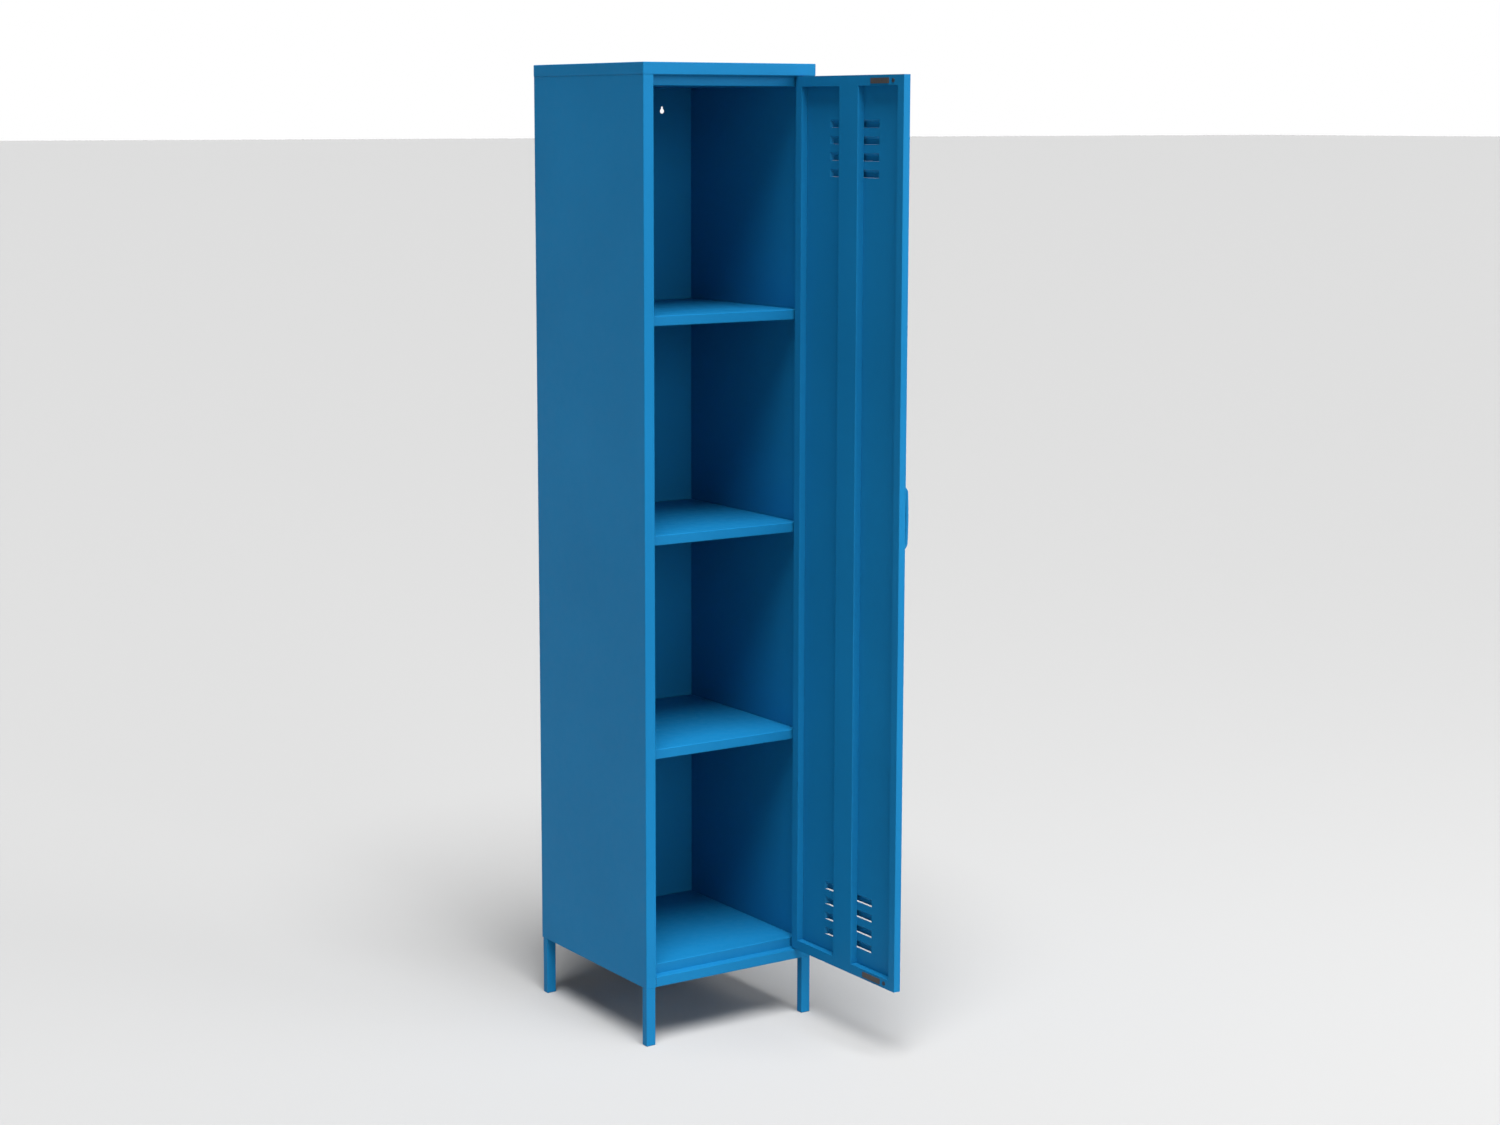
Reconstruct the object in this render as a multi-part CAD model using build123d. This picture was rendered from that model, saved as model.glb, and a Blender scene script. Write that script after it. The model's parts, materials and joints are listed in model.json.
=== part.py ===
from build123d import *
from math import sqrt
import os

# Single-door steel locker cabinet on four legs. Millimetres.
# +X is the viewer's right when facing the door side, +Y is the back, +Z is up.
# The origin is on the floor, at the centre of the cabinet's footprint.
# The door is drawn closed, and turned to its rest position, 90 degrees open, before export.

# Overall size
WIDTH = 380.0
DEPTH = 400.0
HEIGHT = 1850.0
SHEET = 0.7
BEND = 1.2  # centre-line radius of the sheet's folds

# Front frame
LEG_HEIGHT = 114.0
JAMB_WIDTH = 22.0
CAP_HEIGHT = 22.0
CAP_OVERHANG = 0.6
CAP_HEM_RADIUS = 0.6
RAIL_HEIGHT = 20.2
STOP_HEIGHT = 20.0
STOP_SETBACK = 16.8
JAMB_RETURN = 18.4
LIP = 14.0
REAR_FLANGE = 16.0
INNER_FLANGE = 16.0

# Gaps between sheets that lie beside each other
SHEET_GAP = 0.4
LINER_START = 4.0
LINER_EDGE_GAP = 3.0
HEADER_START = 0.8
FLANGE_END_GAP = 2.0
BACK_EDGE_GAP = 2.0
BACK_LOW_GAP = 1.0
BACK_TOP_GAP = 4.0
CUT_MARGIN = 1.0

# Shelves, as heights of their top faces above the floor
SHELF_TOPS = {"lower_shelf": 573.0, "middle_shelf": 981.0, "upper_shelf": 1390.0}
SHELF_THICK = 19.0
SHELF_HEM = 10.0
SHELF_SIDE_GAP = 1.2
SHELF_REAR_GAP = 0.6
CLIP_SPOTS = (-140.0, 150.0)
CLIP_WIDTH = 20.0
CLIP_RISE = 14.0
CLIP_REACH = 9.0
CLIP_LEAF = 1.0
CLIP_LEDGE = 1.2
PEG_WIDTH = 16.0
PEG_HEIGHT = 5.0
PEG_RISE = 5.0
PEG_LENGTH = 3.0

# Legs
LEG_X = 20.0
LEG_Y = 16.0
LEG_WALL = 1.2
LEG_RADIUS = 1.5
REAR_LEG_INSET = 4.0
LEG_SEAM = 0.4
PLUG_HEIGHT = 14.0
GLIDE_FLANGE = 0.8
GLIDE_INSET = 0.8
GLIDE_CORNER = 1.0
GLIDE_STEM = 12.0
GLIDE_HOLE = 2.5
BOLT_RADIUS = 3.0
BOLT_END_GAP = 1.0
BOLT_HEAD_RADIUS = 5.5
BOLT_HEAD_THICK = 4.0
GUSSET = (17.5, 38.0, 2.0)
GUSSET_SIDE_GAP = 0.5
GUSSET_SHIFT = 11.8

# Door
DOOR_GAP = 1.5
DOOR_THICK = 15.0
DOOR_TOP_GAP = 1.5
STILE = 18.0
RIM_HEIGHT = 19.0
SEAM = 0.5
EDGE_RADIUS = 1.5
PIVOT_INSET = 4.0
OPEN_ANGLE = 90.0
STIFFENER_WIDTH = 59.0

# Louvres
LOUVRE_WIDTH = 152.0
LOUVRE_HEIGHT = 15.0
LOUVRE_PITCH = 30.1
LOUVRE_REACH = 6.0
LOUVRE_TAPER = 5.0
LOUVRE_LIP = 10.0
LOUVRES_PER_GROUP = 4
LOW_LOUVRE = 185.4
HIGH_LOUVRE = 1641.9

# Handle
HANDLE_FROM_EDGE = 27.0
HANDLE_Z = 1026.0
HANDLE_HALF = 57.0
HANDLE_REACH = 20.2
HANDLE_BOW = 1.7
HANDLE_SECTION = (8.0, 6.5)
HANDLE_ROUND = 2.0
HANDLE_CORNER = 12.0
HANDLE_BOW_RADIUS = 700.0
HANDLE_HOLE_DEPTH = 12.0

# Magnets and bumpers
MAGNET = (54.0, 1.5, 10.0)
MAGNET_CORNER = 1.0
UPPER_MAGNET_DROP = 1.0
MAGNET_FROM_HINGE = 262.0
BUMPER_RADIUS = 4.0
BUMPER_HOLE = 1.3
BUMPER_ROUND = 0.8
BUMPER_FROM_HINGE = 301.5

# Hinge pins and bushes
PIN_RADIUS = 2.0
PIN_HOLD = 8.0
PIN_UP = 4.0
PIN_DOWN = 6.0
COLLAR_RADIUS = 3.0
COLLAR_THICK = 2.0
BUSH_BORE = 2.05
BUSH_RADIUS = 3.1
BUSH_FLANGE = 3.7
BUSH_RUN = 0.15
BUSH_PAST_PIN = 1.0

# Wall keyholes and screws
KEYHOLE_X = 100.7
KEYHOLE_Z = 1763.0
KEYHOLE_RADIUS = 4.8
KEYHOLE_SLOT = 2.1
KEYHOLE_RISE = 7.2
SCREW_RADIUS = 1.9
SCREW_HOLE = 2.0
SCREW_HEAD = 3.8
SCREW_HEAD_THICK = 1.8
SCREW_HEAD_ROUND = 0.9
PANEL_SCREW = 8.0
HANDLE_SCREW = 10.0
BACK_SCREW_X = 181.0
BACK_SCREW_COUNT = 5
BACK_SCREW_END = 40.0
CAP_SCREW_INSET = 66.0

# Planes worked out from the sizes above
SIDE = WIDTH / 2
FRONT = -DEPTH / 2
BACK = DEPTH / 2
JAMB_X = SIDE - JAMB_WIDTH
LINER_X = JAMB_X + SHEET
BODY_BOTTOM = LEG_HEIGHT
BODY_TOP = HEIGHT - CAP_HEIGHT
LEDGE = BODY_BOTTOM + RAIL_HEIGHT
FLOOR_TOP = LEDGE + STOP_HEIGHT
CEILING = BODY_TOP - STOP_HEIGHT
STOP_PLANE = FRONT + STOP_SETBACK
BACK_FACE = BACK - 2 * SHEET
DOOR_HALF = JAMB_X - DOOR_GAP
DOOR_BOTTOM = LEDGE + DOOR_GAP
DOOR_TOP = BODY_TOP - DOOR_TOP_GAP
DOOR_INNER = FRONT + DOOR_THICK
PIVOT_X = DOOR_HALF - PIVOT_INSET
PIVOT_Y = FRONT + PIVOT_INSET
PIVOT = Axis((PIVOT_X, PIVOT_Y, 0), (0, 0, 1))


def slab(x0, x1, y0, y1, z0, z1):
    """A box between two corners."""
    middle = ((x0 + x1) / 2, (y0 + y1) / 2, (z0 + z1) / 2)
    return Pos(*middle) * Box(x1 - x0, y1 - y0, z1 - z0)


def rod(x, y, z0, z1, radius):
    """An upright round rod."""
    return Pos(x, y, (z0 + z1) / 2) * Cylinder(radius, z1 - z0)


def rod_y(x, z, y0, y1, radius):
    """A round rod along Y."""
    return Pos(x, (y0 + y1) / 2, z) * Rot(90, 0, 0) * Cylinder(radius, y1 - y0)


def folded(points, plane, start, length):
    """A folded sheet: its centre line drawn in a plane, thickened and pulled straight out."""
    section = trace(FilletPolyline(*points, radius=BEND), SHEET)
    return plane.offset(start) * extrude(section, amount=length)


def other_side(piece):
    """The same piece on the opposite side of the cabinet."""
    return mirror(piece, Plane.YZ)


def top_cap():
    """Lid with a skirt that stands just proud of the body, and a lip that rests on the panels."""
    side = SIDE + CAP_OVERHANG
    front = FRONT - CAP_OVERHANG
    shell = slab(-side, side, front, BACK, BODY_TOP, HEIGHT)
    shell = fillet(shell.edges().group_by(Axis.Z)[-1] + shell.edges().filter_by(Axis.Z), EDGE_RADIUS)
    shell = fillet(shell.edges().group_by(Axis.Z)[0], CAP_HEM_RADIUS)
    inner_x = side - SHEET
    inner_y = front + SHEET
    cap = shell - slab(-inner_x, inner_x, inner_y, BACK - SHEET, BODY_TOP, HEIGHT - SHEET)
    lip_top = BODY_TOP + SHEET
    front_lip = slab(-inner_x, inner_x, inner_y, FRONT + LIP, BODY_TOP, lip_top)
    side_lip = slab(-inner_x, -SIDE + LIP, FRONT + LIP, BACK_FACE, BODY_TOP, lip_top)
    cap = cap + front_lip + side_lip + other_side(side_lip)
    cap -= rod(PIVOT_X, PIVOT_Y, BODY_TOP, lip_top, BUSH_RADIUS)
    for x in cap_screw_places():
        cap -= rod_y(x, cap_screw_height(), BACK - SHEET, BACK, SCREW_HOLE)
    return cap


def cap_screw_places():
    return (-SIDE + CAP_SCREW_INSET, SIDE - CAP_SCREW_INSET)


def cap_screw_height():
    return BODY_TOP + CAP_HEIGHT / 2


def side_panel():
    """Left outer panel: front jamb and its return, the side, the rear flange, and two lips."""
    half = SHEET / 2
    points = [
        (-JAMB_X - half, FRONT + JAMB_RETURN),
        (-JAMB_X - half, FRONT + half),
        (-SIDE + half, FRONT + half),
        (-SIDE + half, BACK - half),
        (-SIDE + REAR_FLANGE, BACK - half),
    ]
    panel = folded(points, Plane.XY, BODY_BOTTOM, BODY_TOP - BODY_BOTTOM)
    for z in (BODY_BOTTOM, BODY_TOP - SHEET):
        lip_end = BACK_FACE - SHEET - SHEET_GAP
        panel += slab(-SIDE + half, -SIDE + LIP, FRONT + half, lip_end, z, z + SHEET)
    for y in leg_centres_y():
        panel -= rod(-leg_centre_x(), y, BODY_BOTTOM, BODY_BOTTOM + SHEET, BOLT_RADIUS)
    for z in back_screw_heights():
        panel -= rod_y(-BACK_SCREW_X, z, BACK - SHEET, BACK, SCREW_HOLE)
    return panel


def liner():
    """Left inner wall, behind the jamb's return, with a rear flange and the shelf clips' slots."""
    half = SHEET / 2
    points = [
        (-LINER_X - half, FRONT + LINER_START),
        (-LINER_X - half, BACK_FACE - half),
        (-SIDE + LINER_EDGE_GAP, BACK_FACE - half),
    ]
    bottom = BODY_BOTTOM + SHEET + SHEET_GAP
    top = BODY_TOP - SHEET - SHEET_GAP
    wall = folded(points, Plane.XY, bottom, top - bottom)
    for z in back_screw_heights():
        wall -= rod_y(-BACK_SCREW_X, z, BACK_FACE - SHEET, BACK_FACE, SCREW_HOLE)
    for shelf_top in SHELF_TOPS.values():
        low = shelf_top - SHELF_THICK + PEG_RISE
        for y in CLIP_SPOTS:
            wall -= peg_block(-LINER_X - SHEET - CUT_MARGIN, -LINER_X + CUT_MARGIN, y, low)
    return wall


def peg_block(x0, x1, y, low):
    """The section of a shelf clip's peg, between two places across the cabinet."""
    return slab(x0, x1, y - PEG_WIDTH / 2, y + PEG_WIDTH / 2, low, low + PEG_HEIGHT)


def keyhole(x):
    """Cutter for a keyhole: a round hole for the screw's head, and a slot above it."""
    y0 = BACK_FACE - CUT_MARGIN
    y1 = BACK_FACE + SHEET + CUT_MARGIN
    slot_top = KEYHOLE_Z + KEYHOLE_RISE
    cut = rod_y(x, KEYHOLE_Z, y0, y1, KEYHOLE_RADIUS)
    cut += slab(x - KEYHOLE_SLOT, x + KEYHOLE_SLOT, y0, y1, KEYHOLE_Z, slot_top)
    return cut + rod_y(x, slot_top, y0, y1, KEYHOLE_SLOT)


def back_panel():
    """Flat rear wall. Its top edge stands up inside the cap's skirt, which is screwed to it."""
    edge = SIDE - BACK_EDGE_GAP
    low = BODY_BOTTOM + BACK_LOW_GAP
    panel = slab(-edge, edge, BACK_FACE, BACK_FACE + SHEET, low, HEIGHT - BACK_TOP_GAP)
    for x in (-KEYHOLE_X, KEYHOLE_X):
        panel -= keyhole(x)
    for x in (-BACK_SCREW_X, BACK_SCREW_X):
        for z in back_screw_heights():
            panel -= rod_y(x, z, BACK_FACE, BACK_FACE + SHEET, SCREW_HOLE)
    for x in cap_screw_places():
        panel -= rod_y(x, cap_screw_height(), BACK_FACE, BACK_FACE + SHEET, SCREW_HOLE)
    return panel


def back_screw_heights():
    low = BODY_BOTTOM + BACK_SCREW_END
    step = (BODY_TOP - BACK_SCREW_END - low) / (BACK_SCREW_COUNT - 1)
    return [low + step * i for i in range(BACK_SCREW_COUNT)]


def ceiling_panel():
    """Header web, door stop and ceiling, folded from one sheet, with flanges turned up."""
    half = SHEET / 2
    stop = STOP_PLANE + half
    flange_top = CEILING + INNER_FLANGE
    points = [
        (FRONT + HEADER_START, BODY_TOP - half),
        (stop, BODY_TOP - half),
        (stop, CEILING + half),
        (BACK_FACE - half, CEILING + half),
        (BACK_FACE - half, flange_top),
    ]
    panel = folded(points, Plane.YZ, -JAMB_X, 2 * JAMB_X)
    start = stop + FLANGE_END_GAP
    end = BACK_FACE - FLANGE_END_GAP
    flange = slab(-JAMB_X, -JAMB_X + SHEET, start, end, CEILING + half, flange_top)
    panel = panel + flange + other_side(flange)
    return panel - rod(PIVOT_X, PIVOT_Y, BODY_TOP - 3 * SHEET, BODY_TOP, BUSH_RADIUS)


def floor_panel():
    """Bottom rail, ledge under the door, door stop and cabinet floor, folded from one sheet."""
    half = SHEET / 2
    stop = STOP_PLANE + half
    flange_low = FLOOR_TOP - INNER_FLANGE
    points = [
        (FRONT + LIP, BODY_BOTTOM + half),
        (FRONT + half, BODY_BOTTOM + half),
        (FRONT + half, LEDGE - half),
        (stop, LEDGE - half),
        (stop, FLOOR_TOP - half),
        (BACK_FACE - half, FLOOR_TOP - half),
        (BACK_FACE - half, flange_low),
    ]
    panel = folded(points, Plane.YZ, -JAMB_X, 2 * JAMB_X)
    start = stop + FLANGE_END_GAP
    end = BACK_FACE - FLANGE_END_GAP
    flange = slab(-JAMB_X, -JAMB_X + SHEET, start, end, flange_low, FLOOR_TOP - half)
    panel = panel + flange + other_side(flange)
    return panel - rod(PIVOT_X, PIVOT_Y, LEDGE - 3 * SHEET, LEDGE, BUSH_RADIUS)


def shelf(top):
    """Shelf tray: a flat top with its four edges turned down, and hems along front and back."""
    half = SHEET / 2
    low = top - SHELF_THICK
    front = STOP_PLANE + half
    rear = BACK_FACE - SHELF_REAR_GAP - half
    edge = LINER_X - SHELF_SIDE_GAP
    points = [
        (front + SHELF_HEM, low + half),
        (front, low + half),
        (front, top - half),
        (rear, top - half),
        (rear, low + half),
        (rear - SHELF_HEM, low + half),
    ]
    tray = folded(points, Plane.YZ, -edge, 2 * edge)
    start = front + FLANGE_END_GAP
    end = rear - FLANGE_END_GAP
    flange = slab(-edge, -edge + SHEET, start, end, low, top - half)
    return tray + flange + other_side(flange)


def shelf_clip(y, shelf_low):
    """Left shelf clip: a leaf between liner and shelf, a ledge under the shelf, and a peg."""
    y0 = y - CLIP_WIDTH / 2
    y1 = y + CLIP_WIDTH / 2
    wall = -LINER_X
    low = shelf_low - CLIP_LEDGE
    leaf = slab(wall, wall + CLIP_LEAF, y0, y1, low, shelf_low + CLIP_RISE)
    ledge = slab(wall, wall + CLIP_REACH, y0, y1, low, shelf_low)
    return leaf + ledge + peg_block(wall - PEG_LENGTH, wall, y, shelf_low + PEG_RISE)


def shelf_clips(top):
    """The four clips under one shelf."""
    clips = []
    for y in CLIP_SPOTS:
        clip = shelf_clip(y, top - SHELF_THICK)
        clips += [clip, other_side(clip)]
    return clips


def leg_centre_x():
    return SIDE - LEG_X / 2


def leg_centres_y():
    return (FRONT + LEG_Y / 2, BACK - REAR_LEG_INSET - LEG_Y / 2)


def leg_spots():
    """The four legs' centres, from the front left one to the rear right one."""
    front, rear = leg_centres_y()
    x = leg_centre_x()
    return [(-x, front), (x, front), (-x, rear), (x, rear)]


def upright_tube(x, y, size_x, size_y, wall, radius, z0, z1):
    """Rectangular tube standing at x, y."""
    outer = Pos(x, y, z0) * extrude(RectangleRounded(size_x, size_y, radius), z1 - z0)
    inner = Pos(x, y, z0) * extrude(Rectangle(size_x - 2 * wall, size_y - 2 * wall), z1 - z0)
    return outer - inner


def leg(x, y):
    top = LEG_HEIGHT - LEG_SEAM
    return upright_tube(x, y, LEG_X, LEG_Y, LEG_WALL, LEG_RADIUS, GLIDE_FLANGE, top)


def leg_plug(x, y):
    """Threaded block welded in the top of a leg."""
    size_x = LEG_X - 2 * LEG_WALL
    size_y = LEG_Y - 2 * LEG_WALL
    block = Pos(x, y, LEG_HEIGHT - PLUG_HEIGHT / 2) * Box(size_x, size_y, PLUG_HEIGHT)
    return block - rod(x, y, LEG_HEIGHT - PLUG_HEIGHT, LEG_HEIGHT, BOLT_RADIUS)


def leg_gusset(x, y):
    """Stiffening plate on the side panel's lower lip, above a leg."""
    size_x, size_y, thick = GUSSET
    low = BODY_BOTTOM + SHEET
    inward = -1 if y > 0 else 1
    side = 1 if x > 0 else -1
    middle_x = side * (SIDE - SHEET - GUSSET_SIDE_GAP - size_x / 2)
    middle_y = y + inward * GUSSET_SHIFT
    plate = Pos(middle_x, middle_y, low + thick / 2) * Box(size_x, size_y, thick)
    return plate - rod(x, y, low, low + thick, BOLT_RADIUS)


def leg_bolt(x, y):
    """Hexagon-head bolt down into a leg's plug."""
    seat = BODY_BOTTOM + SHEET + GUSSET[2]
    shank = rod(x, y, LEG_HEIGHT - PLUG_HEIGHT + BOLT_END_GAP, seat, BOLT_RADIUS)
    head = Pos(x, y, seat) * extrude(RegularPolygon(BOLT_HEAD_RADIUS, 6), BOLT_HEAD_THICK)
    return shank + head


def foot_glide(x, y):
    """Push-in glide with a thin foot below the tube's end and a hole up its middle."""
    size_x = LEG_X - 2 * LEG_WALL
    size_y = LEG_Y - 2 * LEG_WALL
    foot_x = LEG_X - 2 * GLIDE_INSET
    foot_y = LEG_Y - 2 * GLIDE_INSET
    foot = Pos(x, y, 0) * extrude(RectangleRounded(foot_x, foot_y, GLIDE_CORNER), GLIDE_FLANGE)
    stem = Pos(x, y, GLIDE_FLANGE + GLIDE_STEM / 2) * Box(size_x, size_y, GLIDE_STEM)
    return foot + stem - rod(x, y, 0, GLIDE_FLANGE + GLIDE_STEM, GLIDE_HOLE)


def rear_screw(x, z, y_face, length):
    """Pan-head screw driven forward from behind."""
    shank = rod_y(x, z, y_face - length, y_face, SCREW_RADIUS)
    head = rod_y(x, z, y_face, y_face + SCREW_HEAD_THICK, SCREW_HEAD)
    head = fillet(head.edges().group_by(Axis.Y)[-1], SCREW_HEAD_ROUND)
    return shank + head


def back_screws():
    places = [(x, z) for x in (-BACK_SCREW_X, BACK_SCREW_X) for z in back_screw_heights()]
    return [rear_screw(x, z, BACK, PANEL_SCREW) for x, z in places]


def cap_screws():
    return [rear_screw(x, cap_screw_height(), BACK, PANEL_SCREW) for x in cap_screw_places()]


def hinge_bush(low, high, flange_low, flange_high):
    """Flanged bush for a hinge pin."""
    body = rod(PIVOT_X, PIVOT_Y, low, high, BUSH_RADIUS)
    body += rod(PIVOT_X, PIVOT_Y, flange_low, flange_high, BUSH_FLANGE)
    return body - rod(PIVOT_X, PIVOT_Y, low, high, BUSH_BORE)


def upper_hinge_bush():
    low = DOOR_TOP + BUSH_RUN
    return hinge_bush(low, BODY_TOP + PIN_UP + BUSH_PAST_PIN, low, BODY_TOP - SHEET)


def lower_hinge_bush():
    high = DOOR_BOTTOM - BUSH_RUN
    return hinge_bush(LEDGE - PIN_DOWN - BUSH_PAST_PIN, high, LEDGE, high)


def louvre_wedge(bottom, near, far, shrink):
    """Body of a louvre between two distances out of the door's face, thinned by shrink all round."""
    end_slope = LOUVRE_TAPER / LOUVRE_REACH
    top_slope = (LOUVRE_HEIGHT - LOUVRE_LIP) / LOUVRE_REACH
    end_shift = shrink * sqrt(1 + end_slope**2)
    top_shift = shrink * sqrt(1 + top_slope**2)
    near_end = end_shift + end_slope * near
    taper = end_slope * (far - near)
    width = LOUVRE_WIDTH - 2 * near_end
    near_top = LOUVRE_HEIGHT - top_shift - top_slope * near
    far_top = LOUVRE_HEIGHT - top_shift - top_slope * far
    wedge = Solid.make_wedge(width, far - near, near_top, taper, 0, width - taper, far_top)
    # A wedge grows along +Y, so it is turned about Z to lean out of the door's face.
    return Pos(width / 2, FRONT - near, bottom) * Rot(0, 0, 180) * wedge


def louvre_heights():
    return [
        low + LOUVRE_PITCH * i for low in (LOW_LOUVRE, HIGH_LOUVRE) for i in range(LOUVRES_PER_GROUP)
    ]


def door_panel():
    """Door pan: skin, four edges, inner flanges and the walls that return to the skin."""
    shell = slab(-DOOR_HALF, DOOR_HALF, FRONT, DOOR_INNER, DOOR_BOTTOM, DOOR_TOP)
    uprights = shell.edges().filter_by(Axis.Z)
    outer_rim = shell.faces().sort_by(Axis.Y)[0].edges()
    shell = fillet(uprights.group_by(Axis.Y)[0] + outer_rim, EDGE_RADIUS)
    skin = FRONT + SHEET
    recess_x = DOOR_HALF - STILE
    recess_low = DOOR_BOTTOM + RIM_HEIGHT
    recess_high = DOOR_TOP - RIM_HEIGHT
    recess = slab(-recess_x, recess_x, skin, DOOR_INNER, recess_low, recess_high)
    hollow = slab(
        -DOOR_HALF + SHEET,
        DOOR_HALF - SHEET,
        skin,
        DOOR_INNER - SHEET,
        DOOR_BOTTOM + SHEET,
        DOOR_TOP - SHEET,
    )
    walls = slab(
        -recess_x - SHEET,
        recess_x + SHEET,
        skin + SEAM,
        DOOR_INNER - SHEET,
        recess_low - SHEET,
        recess_high + SHEET,
    )
    door = shell - recess - (hollow - walls)
    for bottom in louvre_heights():
        door += louvre_wedge(bottom, 0, LOUVRE_REACH, 0)
        door -= louvre_wedge(bottom, -SHEET, LOUVRE_REACH - SHEET, SHEET)
    for z in (DOOR_BOTTOM, DOOR_TOP - SHEET):
        door -= rod(PIVOT_X, PIVOT_Y, z, z + SHEET, PIN_RADIUS)
    for z in handle_screw_heights():
        door -= rod_y(handle_x(), z, FRONT, skin, SCREW_HOLE)
    return door


def door_stiffener():
    """Centre channel, from rim to rim, with its face in the plane of the door's flanges."""
    half = STIFFENER_WIDTH / 2
    low = DOOR_BOTTOM + RIM_HEIGHT
    line = SHEET / 2
    points = [
        (-half + line, FRONT + SHEET),
        (-half + line, DOOR_INNER - line),
        (half - line, DOOR_INNER - line),
        (half - line, FRONT + SHEET),
    ]
    return folded(points, Plane.XY, low, DOOR_TOP - RIM_HEIGHT - low)


def handle_x():
    return -DOOR_HALF + HANDLE_FROM_EDGE


def handle_screw_heights():
    return (HANDLE_Z - HANDLE_HALF, HANDLE_Z + HANDLE_HALF)


def door_handle():
    """Bow handle: two posts out of the door, rounded shoulders and a slightly bowed grip."""
    x = handle_x()
    low, high = handle_screw_heights()
    reach = FRONT - HANDLE_REACH
    points = [
        (x, FRONT, low),
        (x, reach, low),
        (x, reach - HANDLE_BOW, HANDLE_Z),
        (x, reach, high),
        (x, FRONT, high),
    ]
    path = FilletPolyline(*points, radius=[HANDLE_CORNER, HANDLE_BOW_RADIUS, HANDLE_CORNER])
    foot = Plane(origin=(x, FRONT, low), x_dir=(1, 0, 0), z_dir=(0, -1, 0))
    bar = sweep(foot * RectangleRounded(*HANDLE_SECTION, HANDLE_ROUND), path=path)
    for z in handle_screw_heights():
        bar -= rod_y(x, z, FRONT - HANDLE_HOLE_DEPTH, FRONT, SCREW_HOLE)
    return bar


def handle_screws():
    """Two screws from inside the door into the handle's posts."""
    screws = []
    for z in handle_screw_heights():
        screws.append(rear_screw(handle_x(), z, FRONT + SHEET, HANDLE_SCREW))
    return screws


def hinge_pin(low, high, collar_low):
    """Pin riveted in the door's end, with a collar inside the rim."""
    pin = rod(PIVOT_X, PIVOT_Y, low, high, PIN_RADIUS)
    return pin + rod(PIVOT_X, PIVOT_Y, collar_low, collar_low + COLLAR_THICK, COLLAR_RADIUS)


def upper_hinge_pin():
    return hinge_pin(DOOR_TOP - PIN_HOLD, BODY_TOP + PIN_UP, DOOR_TOP - SHEET - COLLAR_THICK)


def lower_hinge_pin():
    return hinge_pin(LEDGE - PIN_DOWN, DOOR_BOTTOM + PIN_HOLD, DOOR_BOTTOM + SHEET)


def magnet_heights():
    upper = DOOR_TOP - RIM_HEIGHT / 2 - UPPER_MAGNET_DROP
    return {"lower": DOOR_BOTTOM + RIM_HEIGHT / 2, "upper": upper}


def magnet(z):
    """Flat magnet strip on the door's inner flange."""
    size_x, thick, size_z = MAGNET
    x = DOOR_HALF - MAGNET_FROM_HINGE
    strip = Pos(x, DOOR_INNER + thick / 2, z) * Box(size_x, thick, size_z)
    return fillet(strip.edges().filter_by(Axis.Y), MAGNET_CORNER)


def bumper(z):
    """Round rubber buffer beside the magnet, with a hole in its middle."""
    x = DOOR_HALF - BUMPER_FROM_HINGE
    top = DOOR_INNER + MAGNET[1]
    button = rod_y(x, z, DOOR_INNER, top, BUMPER_RADIUS)
    button = fillet(button.edges().group_by(Axis.Y)[-1], BUMPER_ROUND)
    return button - rod_y(x, z, DOOR_INNER, top, BUMPER_HOLE)


def cabinet_nodes():
    """Everything that stands still."""
    nodes = {
        "top_cap": top_cap(),
        "ceiling_panel": ceiling_panel(),
        "left_side_panel": side_panel(),
        "right_side_panel": other_side(side_panel()),
        "left_liner": liner(),
        "right_liner": other_side(liner()),
        "back_panel": back_panel(),
        "floor_panel": floor_panel(),
        "leg_plugs": [leg_plug(x, y) for x, y in leg_spots()],
        "leg_gussets": [leg_gusset(x, y) for x, y in leg_spots()],
        "leg_bolts": [leg_bolt(x, y) for x, y in leg_spots()],
        "foot_glides": [foot_glide(x, y) for x, y in leg_spots()],
        "back_screws": back_screws(),
        "cap_screws": cap_screws(),
        "upper_hinge_bush": upper_hinge_bush(),
        "lower_hinge_bush": lower_hinge_bush(),
    }
    names = ("front_left_leg", "front_right_leg", "rear_left_leg", "rear_right_leg")
    for name, (x, y) in zip(names, leg_spots()):
        nodes[name] = leg(x, y)
    for name, top in SHELF_TOPS.items():
        nodes[name] = shelf(top)
        nodes[name + "_clips"] = shelf_clips(top)
    return nodes


def door_nodes():
    """Everything that swings on the hinge pins, drawn closed."""
    nodes = {
        "door_panel": door_panel(),
        "door_stiffener": door_stiffener(),
        "door_handle": door_handle(),
        "handle_screws": handle_screws(),
        "upper_hinge_pin": upper_hinge_pin(),
        "lower_hinge_pin": lower_hinge_pin(),
    }
    for end, z in magnet_heights().items():
        nodes[end + "_magnet"] = magnet(z)
        nodes[end + "_bumper"] = bumper(z)
    return nodes


def as_list(shape):
    return shape if isinstance(shape, list) else [shape]


def save(name, pieces):
    """Write one node: a single solid, or a group of separate solids."""
    solids = [solid for piece in pieces for solid in piece.solids()]
    shape = solids[0] if len(solids) == 1 else Compound(children=solids)
    export_step(shape, f"parts/{name}.step")


def main():
    os.makedirs("parts", exist_ok=True)
    for name, shape in cabinet_nodes().items():
        save(name, as_list(shape))
    for name, shape in door_nodes().items():
        save(name, [piece.rotate(PIVOT, OPEN_ANGLE) for piece in as_list(shape)])


main()
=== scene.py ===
"""The locker cabinet's looks: powder-coated steel on a pale floor, in soft studio light."""

import json
from math import radians

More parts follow.
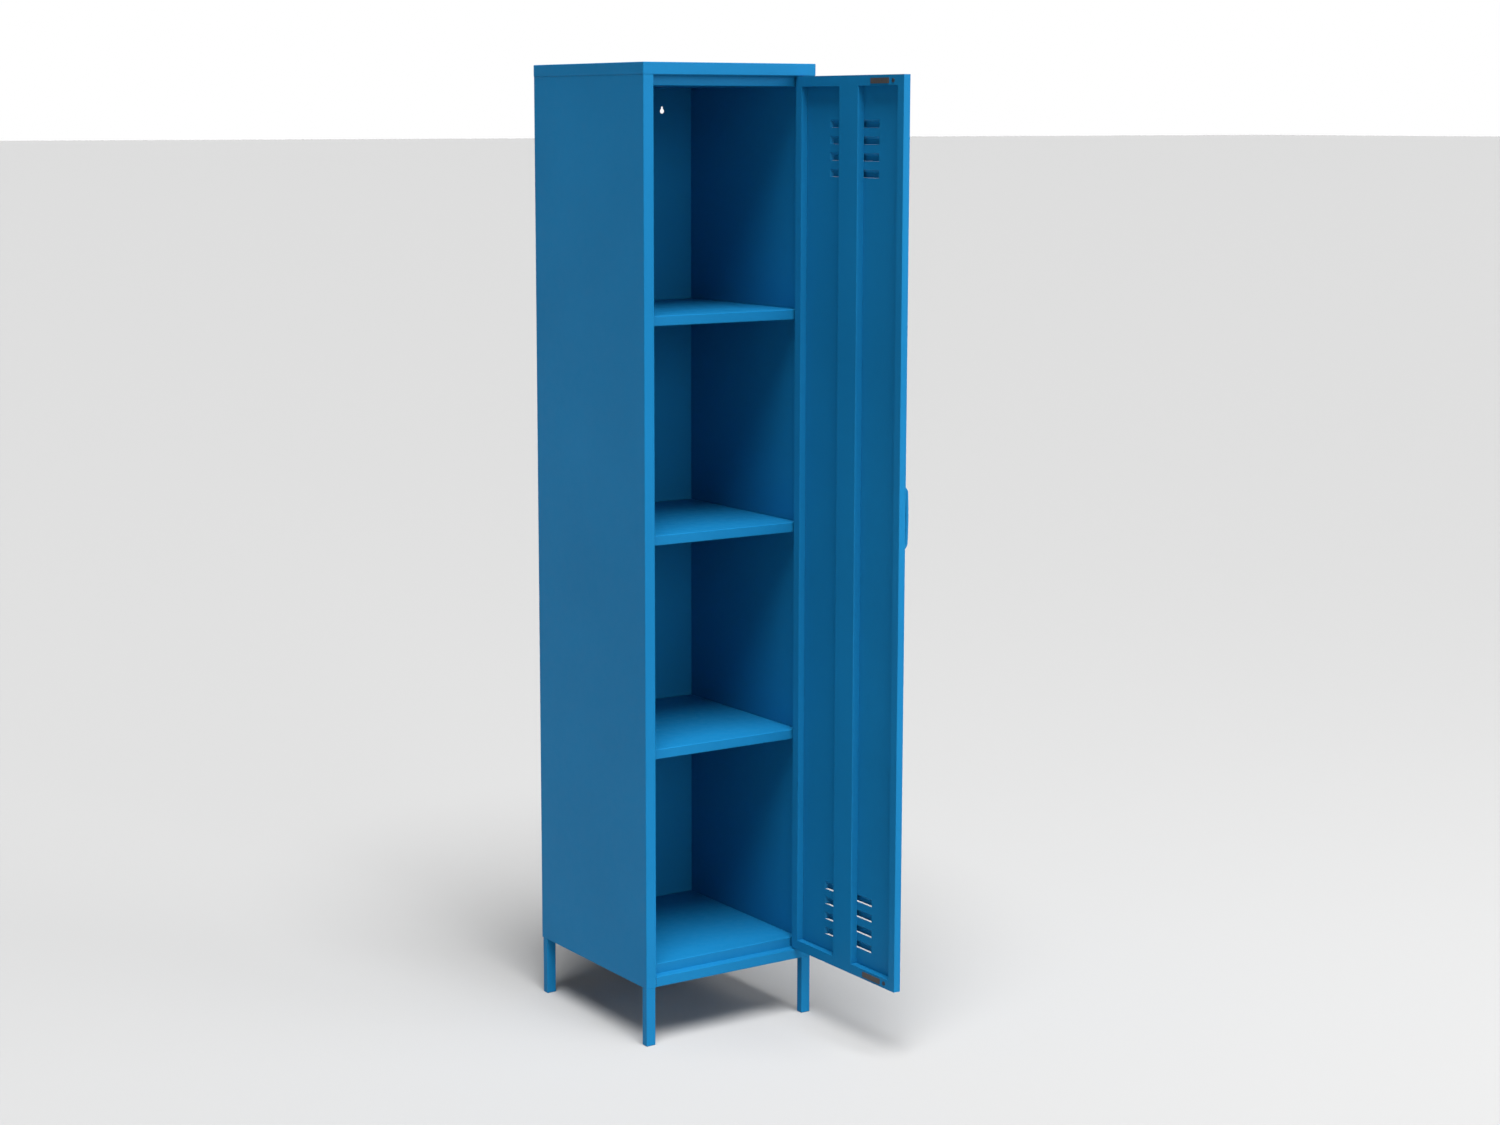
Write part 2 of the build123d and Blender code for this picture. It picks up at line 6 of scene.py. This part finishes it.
import bpy
from mathutils import Euler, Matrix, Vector

# Camera, in metres and degrees. Yaw 0 looks along +Y.
CAMERA_PLACE = (-2.780, -4.375, 1.750)
CAMERA_YAW = 33.16
CAMERA_PITCH = -8.96
CAMERA_LENS = 64.5
CAMERA_SHIFT = (0.0284, -0.014)

# Studio. Sizes and places are in metres, angles in degrees. A turn is toward -X from straight ahead.
FLOOR_SIZE = 400.0
FLOOR_ROUGHNESS = 0.9
FLOOR_COLOUR = (0.44, 0.44, 0.44)
SKY_SEEN = 1.0
SKY_BACK = 0.1
SKY_FRONT = 0.45
KEY_RISE = 67.0
KEY_TURN = 22.0
KEY_SPREAD = 36.0
KEY_STRENGTH = 5.0
FILL_RISE = 14.0
FILL_TURN = 0.0
FILL_SPREAD = 30.0
FILL_STRENGTH = 0.78
FRONT_PLACE = (2.2, -2.8, 3.0)
FRONT_AIM = (0.0, -0.2, 1.7)
FRONT_SIZE = 1.8
FRONT_POWER = 52.0

# Materials. Colours are linear, grains are cells to the metre, and depths are metres.
NOISE_LOW = 0.3
NOISE_HIGH = 0.7
BLUE = (0.008, 0.172, 0.385)
BLUE_DEEP = (0.007, 0.155, 0.350)
PAINT_SHINE = 0.06
PAINT_ROUGHNESS = (0.36, 0.46)
PAINT_DRIFT_GRAIN = 2.5
PAINT_GLOSS_GRAIN = 60.0
PAINT_PEEL_GRAIN = 900.0
PAINT_PEEL_DEPTH = 0.00002
ZINC = (0.60, 0.61, 0.63)
ZINC_DULL = (0.50, 0.52, 0.56)
ZINC_ROUGHNESS = (0.28, 0.42)
ZINC_CLOUD_GRAIN = 400.0
ZINC_GLOSS_GRAIN = 900.0
ZINC_GRAIN = 2500.0
ZINC_DEPTH = 0.00002
CLOUD_TO_GRAIN = 4

# Each plastic's two colours, its roughness range, its grain and its grain's depth.
PLASTICS = {
    "nylon": ((0.028, 0.030, 0.034), (0.034, 0.036, 0.040), (0.42, 0.55), 1200.0, 0.00003),
    "glide_plastic": ((0.020, 0.020, 0.022), (0.035, 0.035, 0.037), (0.5, 0.65), 1500.0, 0.00005),
    "magnet": ((0.050, 0.044, 0.042), (0.070, 0.062, 0.058), (0.5, 0.7), 1800.0, 0.00005),
    "bumper_rubber": ((0.008, 0.020, 0.035), (0.015, 0.030, 0.045), (0.55, 0.7), 1500.0, 0.00004),
}


class Nodes:
    """A new material's node tree, with short calls to add and join nodes."""

    def __init__(self, name):
        self.material = bpy.data.materials.new(name)
        self.material.use_nodes = True
        self.tree = self.material.node_tree
        self.shader = self.tree.nodes["Principled BSDF"]
        self.place = self.add("ShaderNodeTexCoord").outputs["Object"]

    def add(self, kind, **settings):
        node = self.tree.nodes.new(kind)
        for setting, value in settings.items():
            setattr(node, setting, value)
        return node

    def join(self, output, target):
        self.tree.links.new(output, target)

    def noise(self, scale, detail=2.0):
        """Noise with that many cells to the metre, as a value about 0.5."""
        texture = self.add("ShaderNodeTexNoise")
        texture.inputs["Scale"].default_value = scale
        texture.inputs["Detail"].default_value = detail
        self.join(self.place, texture.inputs["Vector"])
        return texture.outputs["Fac"]

    def spread(self, value, low, high):
        """A noise value's usual range, spread from low to high."""
        spread = self.add("ShaderNodeMapRange")
        numbers = (NOISE_LOW, NOISE_HIGH, low, high)
        for name, number in zip(("From Min", "From Max", "To Min", "To Max"), numbers):
            spread.inputs[name].default_value = number
        self.join(value, spread.inputs["Value"])
        return spread.outputs["Result"]

    def blend(self, factor, colour_a, colour_b):
        """Colour a where the factor is 0, and colour b where it is 1."""
        mix = self.add("ShaderNodeMix", data_type="RGBA")
        self.join(factor, mix.inputs["Factor"])
        mix.inputs["A"].default_value = (*colour_a, 1.0)
        mix.inputs["B"].default_value = (*colour_b, 1.0)
        return mix.outputs["Result"]

    def bump(self, height, depth):
        """Surface relief of that depth in metres."""
        bump = self.add("ShaderNodeBump")
        bump.inputs["Distance"].default_value = depth
        self.join(height, bump.inputs["Height"])
        self.join(bump.outputs["Normal"], self.shader.inputs["Normal"])

    def to_shader(self, **outputs):
        for name, output in outputs.items():
            self.join(output, self.shader.inputs[name.replace("_", " ")])


def powder_coat():
    """Satin powder coat: a fine orange-peel skin, with slight drifts of colour and gloss."""
    nodes = Nodes("powder_coat")
    drift = nodes.spread(nodes.noise(PAINT_DRIFT_GRAIN), 0.0, 1.0)
    nodes.to_shader(
        Base_Color=nodes.blend(drift, BLUE, BLUE_DEEP),
        Roughness=nodes.spread(nodes.noise(PAINT_GLOSS_GRAIN, detail=3.0), *PAINT_ROUGHNESS),
    )
    nodes.shader.inputs["Specular IOR Level"].default_value = PAINT_SHINE
    nodes.bump(nodes.noise(PAINT_PEEL_GRAIN, detail=1.0), PAINT_PEEL_DEPTH)
    return nodes.material


def zinc_steel():
    """Zinc-plated steel: bright, with faint cloudy passivation."""
    nodes = Nodes("zinc_steel")
    cloud = nodes.spread(nodes.noise(ZINC_CLOUD_GRAIN, detail=4.0), 0.0, 1.0)
    nodes.to_shader(
        Base_Color=nodes.blend(cloud, ZINC, ZINC_DULL),
        Roughness=nodes.spread(nodes.noise(ZINC_GLOSS_GRAIN), *ZINC_ROUGHNESS),
    )
    nodes.shader.inputs["Metallic"].default_value = 1.0
    nodes.bump(nodes.noise(ZINC_GRAIN), ZINC_DEPTH)
    return nodes.material


def plastic(name, colour, other, rough, grain, depth):
    """Moulded plastic or rubber with a fine grain."""
    nodes = Nodes(name)
    cloud = nodes.spread(nodes.noise(grain / CLOUD_TO_GRAIN, detail=3.0), 0.0, 1.0)
    nodes.to_shader(
        Base_Color=nodes.blend(cloud, colour, other),
        Roughness=nodes.spread(nodes.noise(grain), *rough),
    )
    nodes.bump(nodes.noise(grain), depth)
    return nodes.material


def slot_materials():
    """One material for each material slot of the record."""
    materials = {name: plastic(name, *look) for name, look in PLASTICS.items()}
    materials["powder_coat"] = powder_coat()
    materials["zinc_steel"] = zinc_steel()
    return materials


def paint_nodes():
    """Each CAD node takes the material of its slot."""
    materials = slot_materials()
    for subpart in frame["record"]["subparts"]:
        data = frame["nodes"][subpart["node"]].data
        data.materials.clear()
        data.materials.append(materials[subpart["material_slot"]])


def studio_floor():
    """A plain pale floor."""
    half = FLOOR_SIZE / 2
    mesh = bpy.data.meshes.new("studio_floor")
    corners = [(-half, -half, 0.0), (half, -half, 0.0), (half, half, 0.0), (-half, half, 0.0)]
    mesh.from_pydata(corners, [], [(0, 1, 2, 3)])
    floor = bpy.data.objects.new("studio_floor", mesh)
    bpy.context.scene.collection.objects.link(floor)
    nodes = Nodes("studio_floor")
    nodes.shader.inputs["Base Color"].default_value = (*FLOOR_COLOUR, 1.0)
    nodes.shader.inputs["Roughness"].default_value = FLOOR_ROUGHNESS
    mesh.materials.append(nodes.material)


def studio_sky():
    """A white surround that lights the cabinet most from its door side, and looks even to the camera."""
    world = bpy.data.worlds.new("studio_sky")
    world.use_nodes = True
    bpy.context.scene.world = world
    tree = world.node_tree
    background = tree.nodes["Background"]
    background.inputs["Color"].default_value = (1.0, 1.0, 1.0, 1.0)
    direction = tree.nodes.new("ShaderNodeTexCoord")
    split = tree.nodes.new("ShaderNodeSeparateXYZ")
    front = tree.nodes.new("ShaderNodeMapRange")
    front.inputs["From Min"].default_value = 0.0
    front.inputs["From Max"].default_value = -1.0
    front.inputs["To Min"].default_value = SKY_BACK
    front.inputs["To Max"].default_value = SKY_FRONT
    path = tree.nodes.new("ShaderNodeLightPath")
    seen = tree.nodes.new("ShaderNodeMix")
    seen.inputs["B"].default_value = SKY_SEEN
    tree.links.new(direction.outputs["Generated"], split.inputs["Vector"])
    tree.links.new(split.outputs["Y"], front.inputs["Value"])
    tree.links.new(path.outputs["Is Camera Ray"], seen.inputs["Factor"])
    tree.links.new(front.outputs["Result"], seen.inputs["A"])
    tree.links.new(seen.outputs["Result"], background.inputs["Strength"])


def wide_light(name, rise, turn, spread, strength):
    """Even light from the door side, from that many degrees above the floor."""
    lamp = bpy.data.lights.new(name, "SUN")
    lamp.energy = strength
    lamp.angle = radians(spread)
    light = bpy.data.objects.new(name, lamp)
    light.rotation_euler = Euler((radians(90 - rise), 0, radians(-turn)))
    bpy.context.scene.collection.objects.link(light)


def softbox(name, place, aim, size, power):
    """A square area light at that place, facing the aim."""
    lamp = bpy.data.lights.new(name, "AREA")
    lamp.shape = "SQUARE"
    lamp.size = size
    lamp.energy = power
    light = bpy.data.objects.new(name, lamp)
    light.location = place
    light.rotation_euler = (Vector(aim) - Vector(place)).to_track_quat("-Z", "Y").to_euler()
    bpy.context.scene.collection.objects.link(light)


def camera():
    lens = bpy.data.cameras.new("camera")
    lens.lens = CAMERA_LENS
    lens.shift_x, lens.shift_y = CAMERA_SHIFT
    viewer = bpy.data.objects.new("camera", lens)
    viewer.location = CAMERA_PLACE
    viewer.rotation_euler = Euler((radians(90 + CAMERA_PITCH), 0, radians(-CAMERA_YAW)))
    bpy.context.scene.collection.objects.link(viewer)
    bpy.context.scene.camera = viewer


with open("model.json") as file:
    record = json.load(file)
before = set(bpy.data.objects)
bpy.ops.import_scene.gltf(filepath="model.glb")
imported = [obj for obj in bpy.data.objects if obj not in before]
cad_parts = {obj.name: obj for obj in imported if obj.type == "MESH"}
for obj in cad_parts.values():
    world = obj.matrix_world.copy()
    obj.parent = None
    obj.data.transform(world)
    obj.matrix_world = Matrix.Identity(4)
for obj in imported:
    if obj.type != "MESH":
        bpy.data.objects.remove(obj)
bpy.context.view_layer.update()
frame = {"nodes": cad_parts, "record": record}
paint_nodes()
studio_floor()
studio_sky()
wide_light("overhead_key", KEY_RISE, KEY_TURN, KEY_SPREAD, KEY_STRENGTH)
wide_light("low_fill", FILL_RISE, FILL_TURN, FILL_SPREAD, FILL_STRENGTH)
softbox("front_softbox", FRONT_PLACE, FRONT_AIM, FRONT_SIZE, FRONT_POWER)
camera()
bpy.context.scene.view_settings.view_transform = "Standard"
